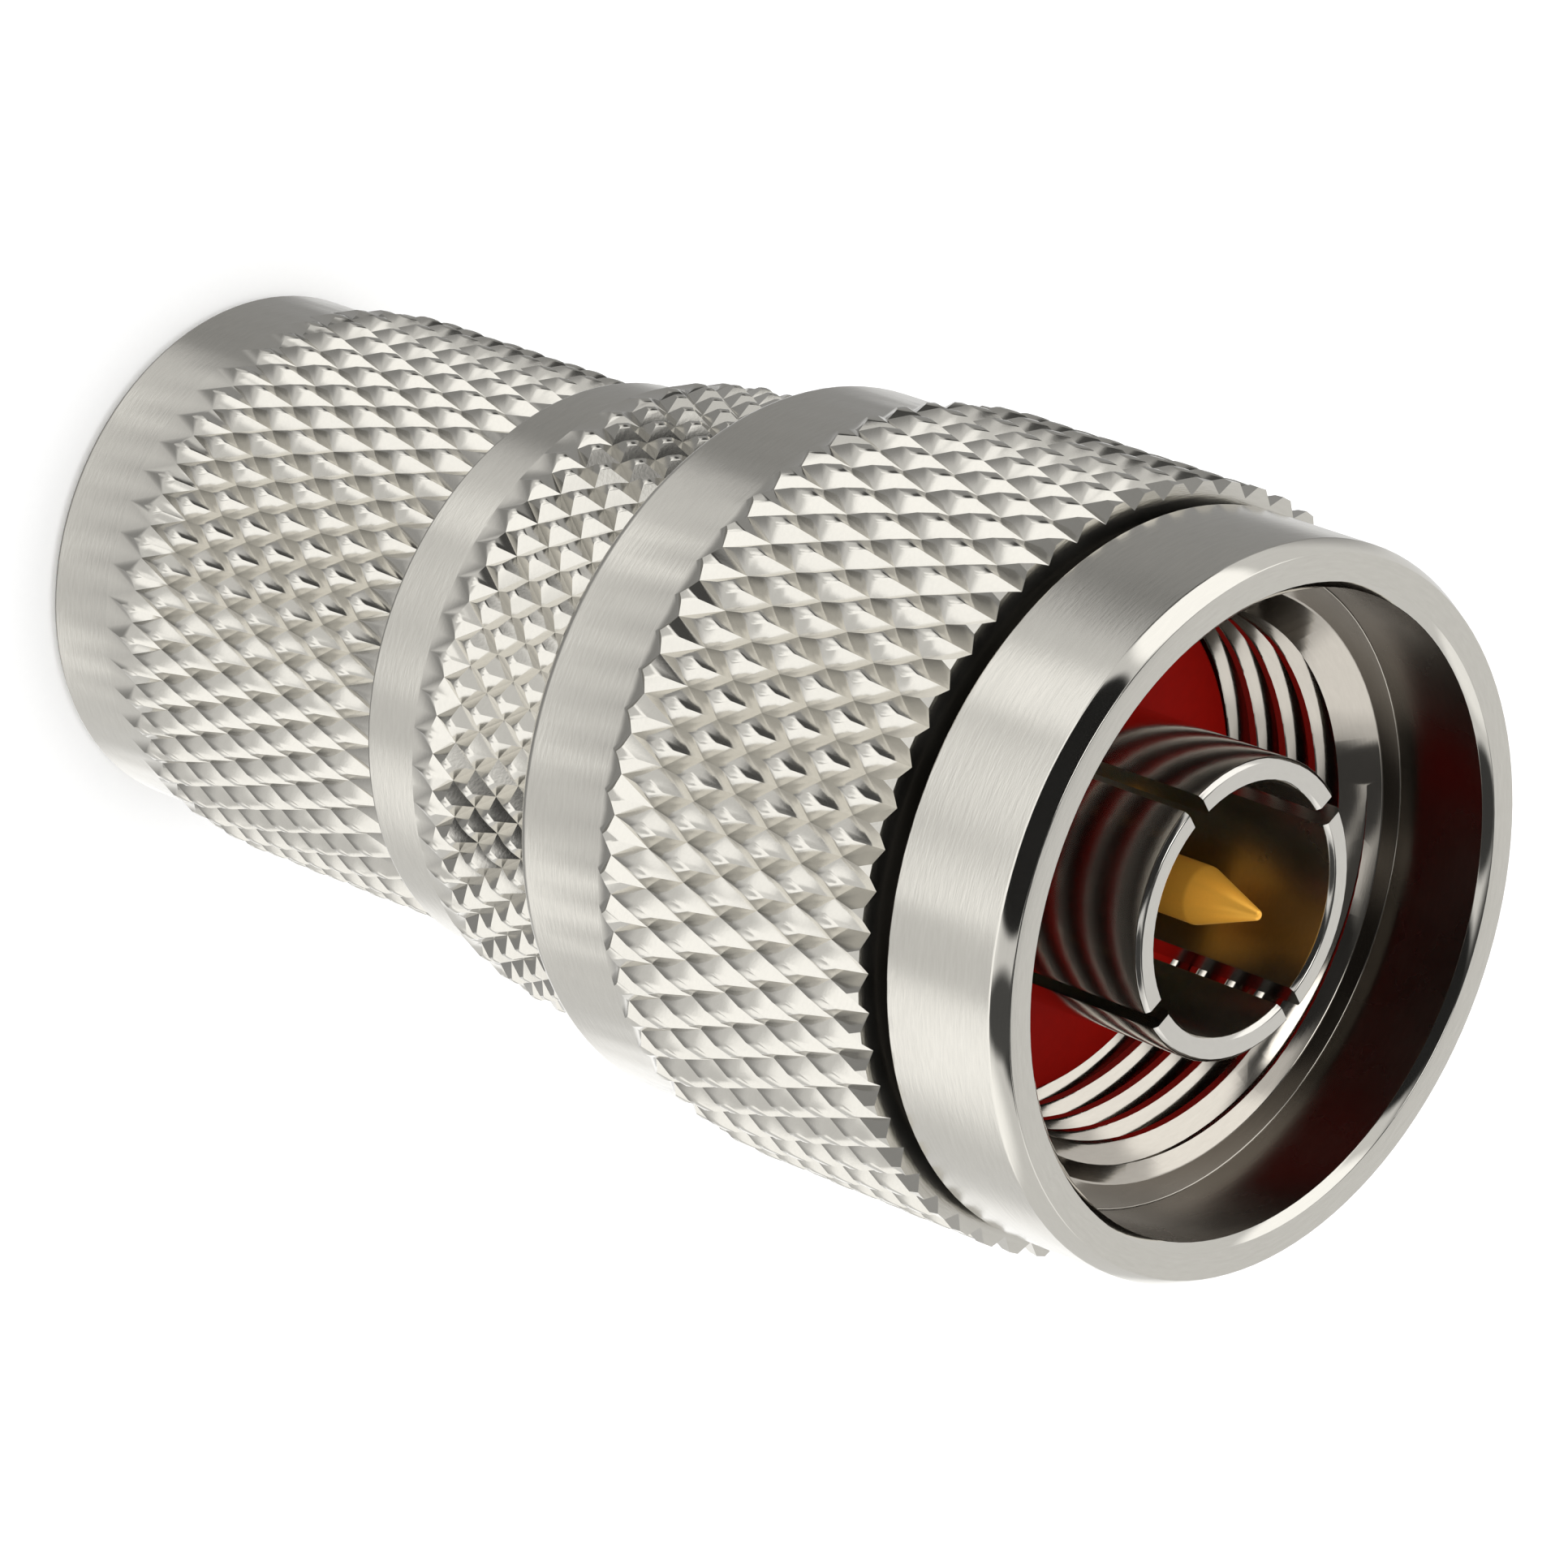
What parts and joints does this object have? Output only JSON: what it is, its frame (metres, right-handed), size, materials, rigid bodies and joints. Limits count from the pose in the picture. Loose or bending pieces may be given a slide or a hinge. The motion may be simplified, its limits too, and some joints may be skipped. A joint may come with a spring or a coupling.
{
  "type": "coaxial connector adapter",
  "caption": "Straight coaxial adapter with a large N plug at one end and a smaller TNC plug at the other, each with a knurled coupling nut that turns freely.",
  "frame": {"origin": "centre of the TNC nut's front rim, which the adapter stands on", "axes": "+Z along the adapter's axis, towards the N plug; the sleeves' slots lie on X and Y"},
  "size_m": [0.0216, 0.0216, 0.04],
  "materials": {
    "nickel_plate": "satin nickel plate over turned brass",
    "bright_nickel": "bright nickel plate over brass",
    "gold_plate": "gold plate over brass",
    "ptfe": "white PTFE",
    "silicone": "red silicone rubber",
    "bronze": "phosphor bronze"
  },
  "bodies": {
    "adapter_body": {"main_body": "nickel_plate", "tnc_body": "nickel_plate", "n_sleeve": "bright_nickel", "tnc_sleeve": "bright_nickel", "n_pin": "gold_plate", "tnc_pin": "gold_plate", "n_bead": "ptfe", "tnc_bead": "ptfe", "n_gasket": "silicone", "tnc_gasket": "silicone", "n_clip": "bronze", "tnc_clip": "bronze"},
    "n_coupling_nut": {"n_nut": "nickel_plate"},
    "tnc_coupling_nut": {"tnc_nut": "nickel_plate"}
  },
  "joints": [
    {"name": "n_nut_turn", "type": "hinge", "parent": "adapter_body", "child": "n_coupling_nut", "pos_m": [0, 0, 0.03], "axis": [0, 0, 1], "continuous": true},
    {"name": "tnc_nut_turn", "type": "hinge", "parent": "adapter_body", "child": "tnc_coupling_nut", "pos_m": [0, 0, 0.007], "axis": [0, 0, 1], "continuous": true}
  ]
}
